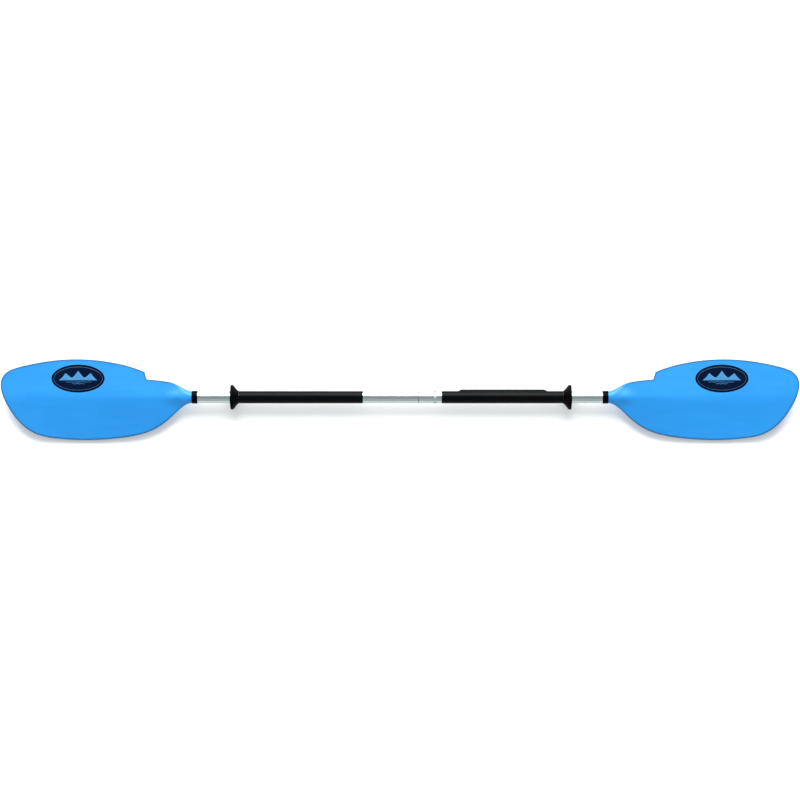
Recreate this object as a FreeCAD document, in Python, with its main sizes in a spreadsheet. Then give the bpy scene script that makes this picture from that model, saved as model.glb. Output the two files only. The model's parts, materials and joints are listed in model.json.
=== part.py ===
import FreeCAD, Part
import math
import os
import Sketcher

# A two-piece kayak paddle, in millimetres.
# The origin is on the shaft's axis, half way between the blade tips.
# +X runs along the shaft into the half with the socket, +Y points to the blades' notched edges
# and +Z out of the blade faces that carry the badges.
# Paired pieces are drawn on the +X side. The -X one is turned about Z or mirrored in the YZ plane.

Vector = FreeCAD.Vector
ALONG_X = FreeCAD.Rotation(Vector(0, 1, 0), 90)
ACROSS_X = FreeCAD.Rotation(Vector(1, 1, 1), 120)
TURNED_ROUND = FreeCAD.Placement(Vector(0, 0, 0), FreeCAD.Rotation(Vector(0, 0, 1), 180))

# Alias, value, meaning. Stations are distances from the origin along the shaft.
SIZES = [
    ("tube_radius", 15.875, "outside of the 1.25 inch shaft tube"),
    ("tube_wall", 1.5, "wall of the shaft tube"),
    ("glue_line", 0.05, "radial gap of glued and shrunk-on pieces"),
    ("tube_end", 549.0, "station where each tube ends under its blade collar"),
    ("seam_low", 48.7, "inner end of the tube with the insert"),
    ("washer_low", 48.8, "one face of the ferrule washer"),
    ("washer_high", 50.3, "other face of the ferrule washer"),
    ("seam_high", 50.4, "inner end of the tube with the socket"),
    ("washer_radius", 15.7, "outside of the ferrule washer"),
    ("insert_radius", 14.3, "outside of the ferrule insert"),
    ("insert_wall", 2.0, "wall of the ferrule insert"),
    ("insert_back", 20.0, "how far the insert reaches past the origin into its own tube"),
    ("insert_tip", 150.0, "station of the insert's free end"),
    ("insert_chamfer", 1.0, "lead-in on the insert's free end"),
    ("plug_depth", 12.0, "how far the end plug reaches into the insert"),
    ("plug_flange", 2.0, "flange of the end plug"),
    ("bulkhead_low", 178.0, "near face of the foam bulkhead"),
    ("bulkhead_high", 206.0, "far face of the foam bulkhead"),
    ("button_station", 93.6, "station of the snap button"),
    ("button_radius", 3.75, "stem of the snap button"),
    ("button_top", 17.3, "height of the button's dome over the axis"),
    ("button_dome", 1.3, "height of the domed part"),
    ("button_flange_radius", 5.0, "flange that stops the button inside the insert"),
    ("button_flange_low", 10.6, "underside of the flange"),
    ("button_flange_high", 11.2, "upper side of the flange"),
    ("button_hole_insert", 3.85, "radius of the button's hole in the insert"),
    ("button_hole_tube", 4.0, "radius of the button's holes in the outer tube"),
    ("feather_angle", 60.0, "angle between the button's holes"),
    ("leaf_thickness", 0.6, "thickness of the button's leaf spring"),
    ("leaf_width", 7.0, "width of the leaf spring"),
    ("leaf_seat", 6.5, "how far both legs reach past the button"),
    ("leaf_length", 46.0, "distance of the spring's bend from the button"),
    ("leaf_bend", 1.8, "half the opening of the bend"),
    ("leaf_foot", 18.0, "how far from the button the lower leg lies flat"),
    ("leaf_play", 0.1, "gap between the spring and the button or the insert"),
    ("rivet_first", 0.0, "station of the first rivet"),
    ("rivet_pitch", 26.0, "distance between the rivets"),
    ("rivet_head", 2.4, "radius of a rivet's head"),
    ("rivet_shank", 1.6, "radius of a rivet's shank"),
    ("rivet_tail", 2.2, "radius of a rivet's upset tail"),
    ("rivet_tail_low", 10.9, "distance of the tail's end from the axis"),
    ("rivet_tail_high", 12.0, "distance from the axis where the tail meets the shank"),
    ("rivet_head_low", 14.33, "distance from the axis where the shank meets the head"),
    ("rivet_head_high", 15.65, "distance of the head's flush face from the axis"),
    ("rivet_play", 0.05, "radial gap around a rivet or pin"),
    ("left_sleeve_low", 99.2, "inner end of the plain grip sleeve"),
    ("right_sleeve_low", 111.3, "inner end of the ridged grip sleeve"),
    ("left_sleeve_high", 431.9, "outer end of the plain grip sleeve"),
    ("right_sleeve_high", 436.9, "outer end of the ridged grip sleeve"),
    ("sleeve_wall", 0.6, "wall of the grip sleeve"),
    ("sleeve_flank", 1.0, "how much deeper the hollow beside the ridge starts"),
    ("strip_radius", 5.35, "half-round index strip under the ridged sleeve"),
    ("strip_height", 14.8, "height of the strip's centre over the axis"),
    ("strip_end_height", 11.8, "height of the strip's centre at its tapered ends"),
    ("ridge_end_height", 10.7, "height of the ridge's centre where it fades out"),
    ("ridge_low", 154.0, "station where the ridge starts to rise"),
    ("ridge_full_low", 165.5, "station where the ridge is full"),
    ("ridge_full_high", 384.0, "station where the ridge starts to fall"),
    ("ridge_high", 395.5, "station where the ridge is gone"),
    ("strip_inset", 4.0, "how far inside the ridge the strip's ends lie"),
    ("left_ring_low", 432.0, "inner end of the left drip ring's hub"),
    ("right_ring_low", 437.0, "inner end of the right drip ring's hub"),
    ("ring_length", 23.0, "length of the hub"),
    ("ring_play", 0.06, "radial running gap of the drip ring on the tube"),
    ("ring_hub", 18.3, "outside of the hub"),
    ("ring_rim", 33.0, "outside of the drip ring's lip"),
    ("ring_cup_root", 2.0, "how far along the hub the cup's wall leaves it"),
    ("ring_lip_low", 13.5, "how far along the hub the lip starts"),
    ("ring_lip_high", 21.5, "how far along the hub the lip ends"),
    ("ring_lip_inside", 29.0, "inside of the lip"),
    ("ring_hollow_root", 5.0, "how far along the hub the cup's hollow starts"),
    ("ring_hollow_lip", 13.6, "how far along the hub the hollow meets the lip"),
    ("ring_lip_round", 2.5, "rounded outer edges of the lip"),
    ("ring_edge_round", 1.0, "rounded edges of the hub and of the lip's mouth"),
    ("collar_low", 541.5, "inner end of the blade collar"),
    ("collar_high", 557.0, "outer end of the blade collar"),
    ("collar_radius", 17.1, "outside of the blade collar"),
    ("collar_round", 0.7, "rounded edges of the blade collar"),
    ("pin_station", 545.2, "station of the blade's cross pin"),
    ("pin_radius", 2.0, "radius of the cross pin"),
    ("pin_length", 31.2, "length of the cross pin"),
    ("spigot_radius", 14.3, "blade spigot inside the tube"),
    ("spigot_length", 70.0, "length of the spigot"),
    ("core_radius", 9.5, "hollow core of the spigot"),
    ("core_end", 575.0, "station where the core ends"),
    ("neck_end", 560.0, "station where the round neck starts to spread"),
    ("blade_tip", 1067.0, "station of the blade's tip"),
    ("blade_dip", 18.0, "depth of the spoon behind the shaft's axis"),
    ("blade_rise", 15.0, "rise of the tip to the power face"),
    ("dihedral_root", 0.12, "slope of each half of the face at the neck"),
    ("dihedral_tip", 0.06, "slope of each half of the face at the tip"),
    ("ridge_width", 10.0, "width over which the centre ridge is rounded"),
    ("rim_thickness", 2.8, "thickness of the blade near its rim"),
    ("middle_thickness", 4.6, "thickness of the blade along its middle"),
    ("middle_width", 45.0, "half width of the thick middle"),
    ("notch_outer_round", 3.0, "rounding of the notch's outer corner"),
    ("notch_inner_round", 4.0, "rounding of the notch's inner corner"),
    ("prism_depth", 100.0, "depth of the upright prisms that trim blade and badge"),
    ("block_margin", 12.0, "how far the curved blocks reach past the blade's edge"),
    ("block_depth", 60.0, "depth of the curved blocks"),
    ("badge_station", 862.0, "station of the badge's centre"),
    ("badge_height", 50.0, "distance of the badge's centre from the axis"),
    ("badge_half_length", 71.0, "half the length of the oval badge"),
    ("badge_half_width", 37.3, "half the width of the oval badge"),
    ("badge_gap", 0.05, "adhesive under the badge"),
    ("badge_thickness", 0.4, "thickness of the badge"),
]

# The blade's edge from the notch round the tip to the neck: station, distance from the axis.
BLADE_EDGE = [
    (684, 68), (715, 79.5), (763, 91.5), (815, 99.3), (868, 101.8), (924, 98.8), (980, 90), (1028, 78),
    (1052, 66.5), (1064, 50), (1067, 30), (1060, 1), (1038, -41), (1004, -80), (970, -100), (924, -109.8),
    (855, -114.5), (780, -112), (715, -103.8), (667, -90), (635, -72), (603, -45), (578, -25), (560, -16.4),
]

# The short edge between the neck and the foot of the notch.
THROAT_EDGE = [(560, 16.4), (578, 24), (602, 36), (635, 43.5), (678.5, 47.8)]

# Rows along the blade and columns across it of the points that its curved faces go through.
FACE_ROWS, FACE_COLUMNS = 16, 28

# Section of the neck as it fades into the panel: station, half width, half thickness, and how far it
# lies behind the panel's middle, since most of the spine shows on the back.
NECK_SECTIONS = [
    (560, 15.875, 15.875, 0.0), (585, 17.5, 11.8, 1.4), (620, 17.0, 7.6, 2.0), (665, 14.0, 5.4, 1.4),
    (715, 9.5, 3.9, 0.6), (770, 4.5, 2.2, 0.0)]

doc = FreeCAD.newDocument("kayak_paddle")
sheet = doc.addObject("Spreadsheet::Sheet", "Sizes")
for row, (alias, number, meaning) in enumerate(SIZES, 1):
    sheet.set("A%d" % row, meaning)
    sheet.set("B%d" % row, str(number))
    sheet.setAlias("B%d" % row, alias)
doc.recompute()


def cell(alias):
    return "Sizes.%s" % alias


def value(expression):
    return float(sheet.evalExpression(expression))


# --- helpers for PartDesign bodies ---------------------------------------------------------------


def sketch_in(body, name, role, offset=None):
    """Adds a sketch on one of the body's own origin planes."""
    plane = [feature for feature in body.Origin.OriginFeatures if feature.Role == role][0]
    sketch = body.newObject("Sketcher::SketchObject", name)
    sketch.AttachmentSupport = [(plane, "")]
    sketch.MapMode = "FlatFace"
    if offset:
        sketch.AttachmentOffset = offset
    return sketch


def bind(sketch, constraint, expression):
    index = sketch.addConstraint(constraint)
    sketch.setExpression("Constraints[%d]" % index, expression)


def polygon(sketch, corners):
    """Draws a closed outline whose corners are pairs of expressions, "0" lying on the axis itself."""
    spots = [Vector(value(across), value(up), 0) for across, up in corners]
    count = len(spots)
    lines = [sketch.addGeometry(Part.LineSegment(spots[i], spots[(i + 1) % count])) for i in range(count)]
    for i, (across, up) in enumerate(corners):
        sketch.addConstraint(Sketcher.Constraint("Coincident", lines[i - 1], 2, lines[i], 1))
        for kind, expression, axis in (("DistanceX", across, -2), ("DistanceY", up, -1)):
            if expression == "0":
                sketch.addConstraint(Sketcher.Constraint("PointOnObject", lines[i], 1, axis))
            else:
                start = value(expression)
                bind(sketch, Sketcher.Constraint(kind, -1, 1, lines[i], 1, start), expression)


def spun(body, kind, name, corners):
    """Adds (Revolution) or takes away (Groove) an outline of (station, radius) corners turned about X."""
    outline = sketch_in(body, name + "_outline", "XY_Plane")
    polygon(outline, corners)
    solid = body.newObject("PartDesign::" + kind, name)
    solid.Profile = outline
    solid.ReferenceAxis = (outline, ["H_Axis"])
    solid.Angle = 360
    doc.recompute()


def turned(label, corners):
    body = doc.addObject("PartDesign::Body", label)
    spun(body, "Revolution", label + "_turned", corners)
    return body


def pipe(label, low, high, inner, outer):
    return turned(label, [(low, inner), (low, outer), (high, outer), (high, inner)])


def rounded(body, spots, radius):
    """Fillets the body's circular edges that pass through the given (station, radius) spots."""
    wanted = [(value(station), value(distance)) for station, distance in spots]
    base = body.Tip
    names = []
    for index, edge in enumerate(base.Shape.Edges, 1):
        point = edge.Vertexes[0].Point
        here = (point.x, math.hypot(point.y, point.z))
        if any(math.dist(here, spot) < 0.01 for spot in wanted):
            names.append("Edge%d" % index)
    fillet = body.newObject("PartDesign::Fillet", body.Label + "_rounded")
    fillet.Base = (base, names)
    fillet.setExpression("Radius", radius)
    doc.recompute()


def drilled(body, name, station, radius, angle=0.0, through=False):
    """Cuts a round hole from the X axis outwards, at an angle from +Z, or right through."""
    offset = FreeCAD.Placement(Vector(0, 0, 0), FreeCAD.Rotation(Vector(1, 0, 0), angle))
    circle = sketch_in(body, name + "_circle", "XY_Plane", offset)
    centre = Vector(value(station), 0, 0)
    hole = circle.addGeometry(Part.Circle(centre, Vector(0, 0, 1), value(radius)))
    circle.addConstraint(Sketcher.Constraint("PointOnObject", hole, 3, -1))
    if station == "0":
        circle.addConstraint(Sketcher.Constraint("PointOnObject", hole, 3, -2))
    else:
        bind(circle, Sketcher.Constraint("DistanceX", -1, 1, hole, 3, value(station)), station)
    bind(circle, Sketcher.Constraint("Radius", hole, value(radius)), radius)
    before = body.Shape.Volume
    pocket = body.newObject("PartDesign::Pocket", name)
    pocket.Profile = circle
    pocket.Reversed = True
    pocket.setExpression("Length", "2 * " + cell("tube_radius"))
    if through:
        pocket.SideType = "Symmetric"
        pocket.setExpression("Length", "4 * " + cell("tube_radius"))
    doc.recompute()
    if body.Shape.Volume >= before:
        raise SystemExit("%s cuts nothing" % name)


# --- shaft tubes and ferrule ----------------------------------------------------------------------

TUBE_OUTER = cell("tube_radius")
TUBE_INNER = "Sizes.tube_radius - Sizes.tube_wall"
HOLE_FOR_PIN = "Sizes.pin_radius + Sizes.rivet_play"
UNDERSIDE = 180.0


def shaft_tubes():
    left = pipe("left_shaft_tube", "0", "Sizes.tube_end + Sizes.seam_low", TUBE_INNER, TUBE_OUTER)
    left.setExpression("Placement.Base.x", "-Sizes.tube_end")
    drilled(left, "left_pin_hole", "Sizes.tube_end - Sizes.pin_station", HOLE_FOR_PIN, through=True)
    for number in range(2):
        station = "Sizes.tube_end + Sizes.rivet_first + %d * Sizes.rivet_pitch" % number
        radius = "Sizes.rivet_head + Sizes.rivet_play"
        drilled(left, "left_rivet_hole_%d" % number, station, radius, UNDERSIDE)

    right = pipe("right_shaft_tube", cell("seam_high"), cell("tube_end"), TUBE_INNER, TUBE_OUTER)
    drilled(right, "right_pin_hole", cell("pin_station"), HOLE_FOR_PIN, through=True)
    for number in range(3):
        angle = (number - 1) * value(cell("feather_angle"))
        drilled(right, "feather_hole_%d" % number, cell("button_station"), cell("button_hole_tube"), angle)
    return [left, right]


def ferrule():
    inner, outer = "Sizes.insert_radius - Sizes.insert_wall", cell("insert_radius")
    length = "Sizes.insert_back + Sizes.insert_tip"
    tip_radius = "Sizes.insert_radius - Sizes.insert_chamfer"
    insert = turned("ferrule_insert", [
        ("0", inner), ("0", outer), (length + " - Sizes.insert_chamfer", outer), (length, tip_radius),
        (length, inner)])
    insert.setExpression("Placement.Base.x", "-Sizes.insert_back")
    station = "Sizes.insert_back + Sizes.button_station"
    drilled(insert, "insert_button_hole", station, cell("button_hole_insert"))
    for number in range(2):
        station = "Sizes.insert_back + Sizes.rivet_first + %d * Sizes.rivet_pitch" % number
        radius = "Sizes.rivet_shank + Sizes.rivet_play"
        drilled(insert, "insert_rivet_hole_%d" % number, station, radius, UNDERSIDE)

    washer = pipe("ferrule_washer", cell("washer_low"), cell("washer_high"),
                  "Sizes.insert_radius + Sizes.glue_line", cell("washer_radius"))

    plug_low = "Sizes.insert_tip - Sizes.plug_depth"
    plug_high = "Sizes.insert_tip + Sizes.plug_flange"
    plug_radius = inner + " - Sizes.glue_line"
    end_plug = turned("insert_end_plug", [
        (plug_low, "0"), (plug_low, plug_radius), (cell("insert_tip"), plug_radius),
        (cell("insert_tip"), tip_radius), (plug_high, tip_radius + " - Sizes.insert_chamfer"),
        (plug_high, "0")])

    bulkhead_radius = TUBE_INNER + " - Sizes.glue_line"
    bulkhead = turned("right_bulkhead_plug", [
        (cell("bulkhead_low"), "0"), (cell("bulkhead_low"), bulkhead_radius),
        (cell("bulkhead_high"), bulkhead_radius), (cell("bulkhead_high"), "0")])
    return [insert, washer, end_plug, bulkhead]


def rivets():
    """Two stepped rivets under the shaft: flush head in the outer tube, upset tail in the insert."""
    pair = []
    for number in range(2):
        rivet = turned("rivet_%d" % number, [
            (cell("rivet_tail_low"), "0"), (cell("rivet_tail_low"), cell("rivet_tail")),
            (cell("rivet_tail_high"), cell("rivet_tail")), (cell("rivet_tail_high"), cell("rivet_shank")),
            (cell("rivet_head_low"), cell("rivet_shank")), (cell("rivet_head_low"), cell("rivet_head")),
            (cell("rivet_head_high"), cell("rivet_head")), (cell("rivet_head_high"), "0")])
        rivet.Placement.Rotation = FreeCAD.Rotation(Vector(0, 1, 0), 90)
        rivet.setExpression("Placement.Base.x", "Sizes.rivet_first + %d * Sizes.rivet_pitch" % number)
        pair.append(rivet)
    group = doc.addObject("Part::Compound", "ferrule_rivets")
    group.Links = pair
    return [group]


def button():
    flange_low, flange_high = cell("button_flange_low"), cell("button_flange_high")
    stem, top, flange = cell("button_radius"), cell("button_top"), cell("button_flange_radius")
    body = turned("snap_button", [
        (flange_low, "0"), (flange_low, flange), (flange_high, flange), (flange_high, stem), (top, stem),
        (top, "0")])
    rounded(body, [(top, stem)], cell("button_dome"))
    body.Placement.Rotation = FreeCAD.Rotation(Vector(0, 1, 0), -90)
    body.setExpression("Placement.Base.x", cell("button_station"))
    return [body]


def button_spring():
    """A V of spring steel: one leg lies on the insert's floor, the other lifts the button."""
    station = value(cell("button_station"))
    bend, opening = station - value(cell("leaf_length")), value(cell("leaf_bend"))
    near, far = station - value(cell("leaf_seat")), station + value(cell("leaf_seat"))
    half = "0.5 * Sizes.leaf_thickness + Sizes.leaf_play"
    lift = value("Sizes.button_flange_low - (%s)" % half)
    bore = "(Sizes.insert_radius - Sizes.insert_wall)"
    floor = value("%s - sqrt(%s ^ 2 - (0.5 * Sizes.leaf_width) ^ 2)" % (half, bore))
    path = doc.addObject("Part::Feature", "leaf_path")
    path.Shape = Part.makePolygon([
        Vector(far, 0, lift), Vector(near, 0, lift), Vector(bend + opening, 0, opening), Vector(bend, 0, 0),
        Vector(bend + opening, 0, -opening), Vector(station - value(cell("leaf_foot")), 0, floor),
        Vector(far, 0, floor)])
    outline = doc.addObject("Part::Offset2D", "leaf_outline")
    outline.Source = path
    outline.Mode = "Pipe"
    outline.setExpression("Value", "0.5 * Sizes.leaf_thickness")
    leaf = doc.addObject("Part::Extrusion", "button_spring")
    leaf.Base = outline
    leaf.DirMode = "Custom"
    leaf.Dir = Vector(0, 1, 0)
    leaf.Symmetric = True
    leaf.Solid = True
    leaf.setExpression("LengthFwd", cell("leaf_width"))
    return [leaf]


# --- grips and drip rings -------------------------------------------------------------------------

SLEEVE_INNER = "Sizes.tube_radius + Sizes.glue_line"
SLEEVE_OUTER = SLEEVE_INNER + " + Sizes.sleeve_wall"
RIDGE_STATIONS = [("ridge_low", "ridge_end_height"), ("ridge_full_low", "strip_height"),
                  ("ridge_full_high", "strip_height"), ("ridge_high", "ridge_end_height")]


def hull_sketch(body, name, station, large, small, height):
    """Draws the band pulled round a circle on the axis and a smaller one at a height in +Y."""
    sketch = sketch_in(body, name, "YZ_Plane")
    sketch.setExpression("AttachmentOffset.Base.z", station)
    big, little, gap = value(large), value(small), value(height)
    turn = math.acos((big - little) / gap)

    def touch(centre, radius, side):
        return Vector(centre + radius * math.cos(turn), side * radius * math.sin(turn), 0)

    axis = Vector(0, 0, 1)
    circle = Part.Circle(Vector(0, 0, 0), axis, big)
    shaft = sketch.addGeometry(Part.ArcOfCircle(circle, turn, 2 * math.pi - turn))
    circle = Part.Circle(Vector(gap, 0, 0), axis, little)
    crest = sketch.addGeometry(Part.ArcOfCircle(circle, -turn, turn))
    upper = sketch.addGeometry(Part.LineSegment(touch(0, big, 1), touch(gap, little, 1)))
    lower = sketch.addGeometry(Part.LineSegment(touch(gap, little, -1), touch(0, big, -1)))
    for joint in ((shaft, 1, upper, 1), (upper, 2, crest, 2), (crest, 1, lower, 1), (lower, 2, shaft, 2)):
        sketch.addConstraint(Sketcher.Constraint("Tangent", *joint))
    sketch.addConstraint(Sketcher.Constraint("Coincident", shaft, 3, -1, 1))
    sketch.addConstraint(Sketcher.Constraint("PointOnObject", crest, 3, -1))
    bind(sketch, Sketcher.Constraint("DistanceX", -1, 1, crest, 3, gap), height)
    bind(sketch, Sketcher.Constraint("Radius", shaft, big), large)
    bind(sketch, Sketcher.Constraint("Radius", crest, little), small)
    return sketch


def lofted(body, kind, name, sketches):
    loft = body.newObject("PartDesign::" + kind, name)
    loft.Profile = sketches[0]
    loft.Sections = sketches[1:]
    loft.Ruled = True
    doc.recompute()


def ridged_sleeve():
    low, high = cell("right_sleeve_low"), cell("right_sleeve_high")
    start, end = cell("ridge_low"), cell("ridge_high")
    body = turned("right_grip_sleeve", [(low, "0"), (low, SLEEVE_OUTER), (start, SLEEVE_OUTER), (start, "0")])
    crest = "Sizes.strip_radius + Sizes.glue_line"
    outside = [hull_sketch(body, "ridge_outside_%d" % number, cell(station), SLEEVE_OUTER,
                           crest + " + Sizes.sleeve_wall", cell(height))
               for number, (station, height) in enumerate(RIDGE_STATIONS)]
    lofted(body, "AdditiveLoft", "ridge", outside)
    tail = [(end, "0"), (end, SLEEVE_OUTER), (high, SLEEVE_OUTER), (high, "0")]
    spun(body, "Revolution", "sleeve_tail", tail)
    inside = [hull_sketch(body, "ridge_inside_%d" % number, cell(station),
                          SLEEVE_INNER + " - Sizes.sleeve_flank", crest, cell(height))
              for number, (station, height) in enumerate(RIDGE_STATIONS)]
    lofted(body, "SubtractiveLoft", "ridge_hollow", inside)
    spun(body, "Groove", "sleeve_bore", [(low, "0"), (low, SLEEVE_INNER), (high, SLEEVE_INNER), (high, "0")])
    return body


def index_strip():
    """A half-round bar under the ridged sleeve, hollowed to sit on the tube."""
    body = doc.addObject("PartDesign::Body", "right_index_strip")
    low, high = cell("ridge_low"), cell("ridge_high")
    stations = [
        (low + " + Sizes.strip_inset", "strip_end_height"), (cell("ridge_full_low"), "strip_height"),
        (cell("ridge_full_high"), "strip_height"), (high + " - Sizes.strip_inset", "strip_end_height")]
    circles = []
    for number, (station, height) in enumerate(stations):
        circle = sketch_in(body, "strip_circle_%d" % number, "YZ_Plane")
        circle.setExpression("AttachmentOffset.Base.z", station)
        centre = Vector(value(cell(height)), 0, 0)
        ring = circle.addGeometry(Part.Circle(centre, Vector(0, 0, 1), value(cell("strip_radius"))))
        circle.addConstraint(Sketcher.Constraint("PointOnObject", ring, 3, -1))
        bind(circle, Sketcher.Constraint("DistanceX", -1, 1, ring, 3, centre.x), cell(height))
        bind(circle, Sketcher.Constraint("Radius", ring, value(cell("strip_radius"))), cell("strip_radius"))
        circles.append(circle)
    lofted(body, "AdditiveLoft", "strip_bar", circles)
    spun(body, "Groove", "strip_seat", [(low, "0"), (low, SLEEVE_INNER), (high, SLEEVE_INNER), (high, "0")])
    return body


def grips():
    low, high = cell("left_sleeve_low"), cell("left_sleeve_high")
    plain = pipe("left_grip_sleeve", low, high, SLEEVE_INNER, SLEEVE_OUTER)
    plain.Placement = TURNED_ROUND
    return [plain, ridged_sleeve(), index_strip()]


def drip_ring(side):
    """A hub that grips the tube, with a thin cup that opens towards the blade and ends in a thick lip."""
    bore = "Sizes.tube_radius + Sizes.ring_play"
    hub, rim, mouth = cell("ring_hub"), cell("ring_rim"), cell("ring_lip_inside")
    start = cell(side + "_ring_low")
    end = start + " + Sizes.ring_length"
    lip_low, lip_high = start + " + Sizes.ring_lip_low", start + " + Sizes.ring_lip_high"
    body = turned(side + "_drip_ring", [
        (start, bore), (start, hub), (start + " + Sizes.ring_cup_root", hub), (lip_low, rim), (lip_high, rim),
        (lip_high, mouth), (start + " + Sizes.ring_hollow_lip", mouth),
        (start + " + Sizes.ring_hollow_root", hub), (end, hub), (end, bore)])
    rounded(body, [(lip_low, rim), (lip_high, rim)], cell("ring_lip_round"))
    rounded(body, [(start, hub), (end, hub), (lip_high, mouth)], cell("ring_edge_round"))
    return body


def drip_rings():
    left = drip_ring("left")
    left.Placement = TURNED_ROUND
    return [left, drip_ring("right")]


# --- blades ---------------------------------------------------------------------------------------


def collars_and_pins():
    pieces = []
    for side, placement in (("left", TURNED_ROUND), ("right", FreeCAD.Placement())):
        low, high, outside = cell("collar_low"), cell("collar_high"), cell("collar_radius")
        collar = pipe(side + "_blade_collar", low, high, SLEEVE_INNER, outside)
        rounded(collar, [(low, outside), (high, outside)], cell("collar_round"))
        collar.Placement = placement
        pin = doc.addObject("Part::Cylinder", side + "_blade_pin")
        pin.setExpression("Radius", cell("pin_radius"))
        pin.setExpression("Height", cell("pin_length"))
        pin.setExpression("Placement.Base.x", ("-" if side == "left" else "") + cell("pin_station"))
        pin.setExpression("Placement.Base.z", "-0.5 * Sizes.pin_length")
        pieces += [collar, pin]
    return pieces


DIP_SCALE = 27 / 4  # makes the deepest point of x * x * (1 - x), at x = 2/3, equal to 1


def panel_height(station, across, side):
    """Height of the blade's face (side 1) or back (side -1) over the shaft's axis."""
    along = (station - value(cell("neck_end"))) / value("Sizes.blade_tip - Sizes.neck_end")
    rise, dip = value(cell("blade_rise")), value(cell("blade_dip"))
    spoon = rise * along ** 3 - dip * DIP_SCALE * along ** 2 * (1 - along)
    slope = value(cell("dihedral_root")) + value("Sizes.dihedral_tip - Sizes.dihedral_root") * along
    ridge = value(cell("ridge_width"))
    drop = slope * (math.hypot(across, ridge) - ridge)
    rim, middle = value(cell("rim_thickness")), value(cell("middle_thickness"))
    thickness = rim + (middle - rim) * math.exp(-(across / value(cell("middle_width"))) ** 2)
    return spoon - drop + side * thickness / 2


def spaced(low, high, count):
    return [low + (high - low) * number / (count - 1) for number in range(count)]


def curved_block(name, side, lift, towards):
    """A deep block bounded by the blade's face or back, lifted, and reaching up (1) or down (-1)."""
    margin = value(cell("block_margin"))
    acrosses = [across for _, across in BLADE_EDGE]
    rows = spaced(value(cell("tube_end")), value(cell("blade_tip")) + margin, FACE_ROWS)
    columns = spaced(min(acrosses) - margin, max(acrosses) + margin, FACE_COLUMNS)
    surface = Part.BSplineSurface()
    surface.interpolate([[Vector(station, across, panel_height(station, across, side) + lift)
                          for across in columns] for station in rows])
    block = doc.addObject("Part::Feature", name)
    block.Shape = surface.toShape().extrude(Vector(0, 0, towards * value(cell("block_depth"))))
    return block


def upright_prism(name, profile):
    """The profile, drawn in the XY plane, as a prism reaching up and down."""
    prism = doc.addObject("Part::Extrusion", name)
    prism.Base = profile
    prism.DirMode = "Custom"
    prism.Dir = Vector(0, 0, 1)
    prism.Symmetric = True
    prism.Solid = True
    prism.setExpression("LengthFwd", cell("prism_depth"))
    return prism


def blade_outline():
    """The blade's plan as a deep prism with its notch corners rounded."""
    def smooth(points):
        curve = Part.BSplineCurve()
        curve.interpolate([Vector(x, y, 0) for x, y in points])
        return curve.toShape()

    def straight(start, end):
        return Part.makeLine(Vector(*start, 0), Vector(*end, 0))

    profile = doc.addObject("Part::Feature", "blade_plan")
    profile.Shape = Part.Face(Part.Wire([
        smooth(BLADE_EDGE), straight(BLADE_EDGE[-1], THROAT_EDGE[0]), smooth(THROAT_EDGE),
        straight(THROAT_EDGE[-1], BLADE_EDGE[0])]))
    prism = upright_prism("blade_prism", profile)
    doc.recompute()
    corners = {BLADE_EDGE[0]: value(cell("notch_outer_round")),
               THROAT_EDGE[-1]: value(cell("notch_inner_round"))}
    rounds = []
    for index, edge in enumerate(prism.Shape.Edges, 1):
        ends = [vertex.Point for vertex in edge.Vertexes]
        for spot, radius in corners.items():
            if all(math.dist((point.x, point.y), spot) < 0.01 for point in ends):
                rounds.append((index, radius, radius))
    notched = doc.addObject("Part::Fillet", "notched_prism")
    notched.Base = prism
    notched.Edges = rounds
    return notched


def neck():
    """Oval sections that fade from the round neck into the panel."""
    sections = []
    for number, (station, half_width, half_thickness, behind) in enumerate(NECK_SECTIONS):
        oval = doc.addObject("Part::Ellipse", "neck_oval_%d" % number)
        oval.MajorRadius = half_width
        oval.MinorRadius = half_thickness
        height = 0.5 * (panel_height(station, 0, 1) + panel_height(station, 0, -1)) - behind
        oval.Placement = FreeCAD.Placement(Vector(station, 0, height), ACROSS_X)
        sections.append(oval)
    loft = doc.addObject("Part::Loft", "blade_neck")
    loft.Sections = sections
    loft.Solid = True
    return loft


def cylinder_along_x(name, radius, low, high):
    rod = doc.addObject("Part::Cylinder", name)
    rod.setExpression("Radius", radius)
    rod.setExpression("Height", "%s - (%s)" % (high, low))
    rod.Placement.Rotation = ALONG_X
    rod.setExpression("Placement.Base.x", low)
    return rod


def blades():
    blocks = [curved_block("face_block", 1, 0, -1), curved_block("back_block", -1, 0, 1), blade_outline()]
    panel = doc.addObject("Part::MultiCommon", "blade_panel")
    panel.Shapes = blocks
    shoulder = cylinder_along_x("blade_shoulder", TUBE_OUTER, cell("tube_end"), cell("neck_end"))
    spigot_low = "Sizes.tube_end - Sizes.spigot_length"
    spigot = cylinder_along_x("blade_spigot", cell("spigot_radius"), spigot_low, cell("neck_end"))
    throat = neck()
    solid = doc.addObject("Part::MultiFuse", "blade_solid")
    solid.Shapes = [panel, throat, shoulder, spigot]

    core = cylinder_along_x("blade_core", cell("core_radius"), spigot_low + " - 1", cell("core_end"))
    pin_hole = doc.addObject("Part::Cylinder", "blade_pin_hole")
    pin_hole.setExpression("Radius", HOLE_FOR_PIN)
    pin_hole.setExpression("Height", cell("pin_length"))
    pin_hole.setExpression("Placement.Base.x", cell("pin_station"))
    pin_hole.setExpression("Placement.Base.z", "-0.5 * Sizes.pin_length")
    holes = doc.addObject("Part::MultiFuse", "blade_holes")
    holes.Shapes = [core, pin_hole]
    right = doc.addObject("Part::Cut", "right_blade")
    right.Base = solid
    right.Tool = holes
    return [right, mirrored(right, "left_blade")]


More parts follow.
